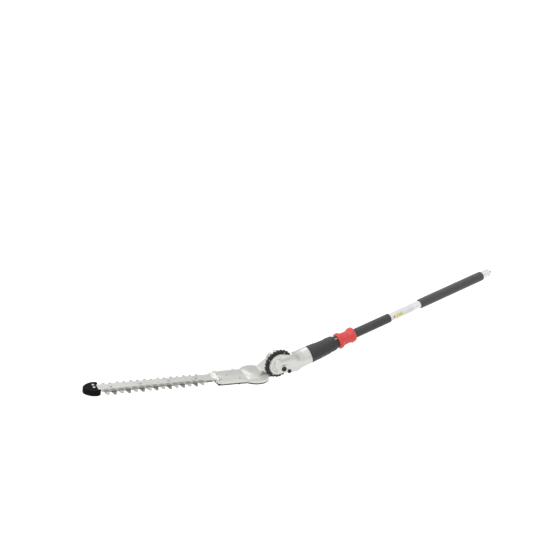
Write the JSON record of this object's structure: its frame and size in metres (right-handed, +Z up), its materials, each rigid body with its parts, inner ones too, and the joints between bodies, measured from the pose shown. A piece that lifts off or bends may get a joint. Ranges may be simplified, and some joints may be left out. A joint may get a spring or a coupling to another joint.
{
  "type": "hedge trimmer attachment",
  "caption": "Articulating hedge trimmer head on a straight pole section: double-sided reciprocating blades, gear case, notched tilt knuckle, red release collar and foam grip.",
  "frame": {"origin": "on the pole's axis at its open coupling end", "axes": "+X along the pole and out of its coupling end, the cutting head towards -X; +Z up, across the blade's tilt; -Y towards the side with the cover bolts"},
  "size_m": [1.4197, 0.094, 0.2468],
  "materials": {
    "aluminium_cast": "silver painted casting, satin",
    "tube_metal": "drawn and clear coated",
    "bar_metal": "extruded, satin",
    "blade_steel": "ground and hardened",
    "gear_steel": "machined, oiled",
    "bush_bronze": "sintered, oiled",
    "black_steel": "black oxide",
    "zinc_steel": "zinc plated",
    "black_plastic": "fine moulded grain",
    "red_plastic": "moulded, half gloss",
    "sleeve_rubber": "smooth, matte",
    "grip_foam": "closed cell foam, fine texture",
    "label_film": "printed film without text",
    "gasket_rubber": "thin sheet"
  },
  "bodies": {
    "pole": {"tube": "tube_metal", "tube_liners": "black_plastic", "sleeve": "sleeve_rubber", "label_wrap": "label_film", "foam_grip": "grip_foam", "neck_cover": "black_plastic", "collar_stop": "black_plastic", "collar_spring": "gear_steel", "arm_housing": "aluminium_cast", "arm_cover": "aluminium_cast", "cover_bolt_large": "black_steel", "cover_bolt_small": "black_steel", "drive_bush": "bush_bronze", "lay_bush": "bush_bronze", "pivot_bush": "bush_bronze", "hub_retainer": "gear_steel", "retainer_screws": "zinc_steel", "web_idler_pin": "gear_steel"},
    "release_collar": {"collar": "red_plastic", "link_rod": "gear_steel", "lock_pawl": "black_steel"},
    "drive": {"drive_shaft": "gear_steel", "drive_pinion": "gear_steel"},
    "lay": {"layshaft": "gear_steel", "crown_gear": "gear_steel", "lay_gear": "gear_steel"},
    "web_gear": {"web_idler": "gear_steel"},
    "pivot_drive": {"pivot_shaft": "gear_steel", "pivot_gear": "gear_steel", "upper_mitre": "gear_steel"},
    "head": {"head_case": "aluminium_cast", "index_ring": "black_steel", "ring_screws": "zinc_steel", "drum_cap": "aluminium_cast", "cap_screws": "zinc_steel", "gasket": "gasket_rubber", "bottom_cover": "black_steel", "cover_bolts": "black_steel", "case_screws": "black_steel", "case_nuts": "black_steel", "grease_plug": "zinc_steel", "crank_bush": "bush_bronze", "pinion_bush": "bush_bronze", "head_idler_pin": "gear_steel", "guide_bar": "bar_metal", "blade_bolts": "black_steel", "blade_spacers": "gear_steel", "blade_nuts": "black_steel", "tip_guard": "black_plastic", "guard_screws": "zinc_steel"},
    "head_input": {"head_pinion_shaft": "gear_steel", "head_pinion": "gear_steel", "lower_mitre": "gear_steel"},
    "head_gear": {"head_idler": "gear_steel"},
    "crank": {"crank_gear": "gear_steel", "crank_shaft": "gear_steel"},
    "blade_upper": {"upper_blade": "blade_steel"},
    "blade_lower": {"lower_blade": "blade_steel"}
  },
  "joints": [
    {"name": "head_tilt", "type": "hinge", "parent": "pole", "child": "head", "pos_m": [-0.84, 0, 0.0285], "axis": [0, 1, 0], "range_deg": [-45, 75]},
    {"name": "collar_pull", "type": "slide", "parent": "pole", "child": "release_collar", "axis": [1, 0, 0], "range_m": [0, 0.012], "stiffness_N_per_m": 600, "springref_m": -0.01, "deforming": ["collar_spring"]},
    {"name": "drive_spin", "type": "hinge", "parent": "pole", "child": "drive", "pos_m": [0, 0, 0], "axis": [1, 0, 0], "continuous": true},
    {"name": "lay_spin", "type": "hinge", "parent": "pole", "child": "lay", "pos_m": [-0.77552, 0, 0], "axis": [0, -1, 0], "continuous": true},
    {"name": "web_gear_spin", "type": "hinge", "parent": "pole", "child": "web_gear", "pos_m": [-0.8057, 0, 0.01334], "axis": [0, -1, 0], "continuous": true},
    {"name": "pivot_drive_spin", "type": "hinge", "parent": "pole", "child": "pivot_drive", "pos_m": [-0.84, 0, 0.0285], "axis": [0, -1, 0], "continuous": true},
    {"name": "head_input_spin", "type": "hinge", "parent": "head", "child": "head_input", "pos_m": [-0.84, 0.01, 0.0285], "axis": [0.3649, 0, 0.9311], "continuous": true},
    {"name": "head_gear_spin", "type": "hinge", "parent": "head", "child": "head_gear", "pos_m": [-0.86582, 0.01098, 0.03862], "axis": [0.3649, 0, 0.9311], "continuous": true},
    {"name": "crank_spin", "type": "hinge", "parent": "head", "child": "crank", "pos_m": [-0.91076, 0, 0.05623], "axis": [0.3649, 0, 0.9311], "continuous": true},
    {"name": "upper_blade_stroke", "type": "slide", "parent": "head", "child": "blade_upper", "axis": [-0.9311, 0, 0.3649], "range_m": [-0.02, 0]},
    {"name": "lower_blade_stroke", "type": "slide", "parent": "head", "child": "blade_lower", "axis": [-0.9311, 0, 0.3649], "range_m": [0, 0.02]}
  ],
  "couplings": [
    {"joint": "lay_spin", "follows": "drive_spin", "ratio": -0.75},
    {"joint": "web_gear_spin", "follows": "drive_spin", "ratio": 0.51923},
    {"joint": "pivot_drive_spin", "follows": "drive_spin", "ratio": -0.5625},
    {"joint": "head_input_spin", "follows": "crank_spin", "ratio": 2.9333},
    {"joint": "head_gear_spin", "follows": "crank_spin", "ratio": -2},
    {"joint": "lower_blade_stroke", "follows": "upper_blade_stroke", "ratio": -1}
  ]
}
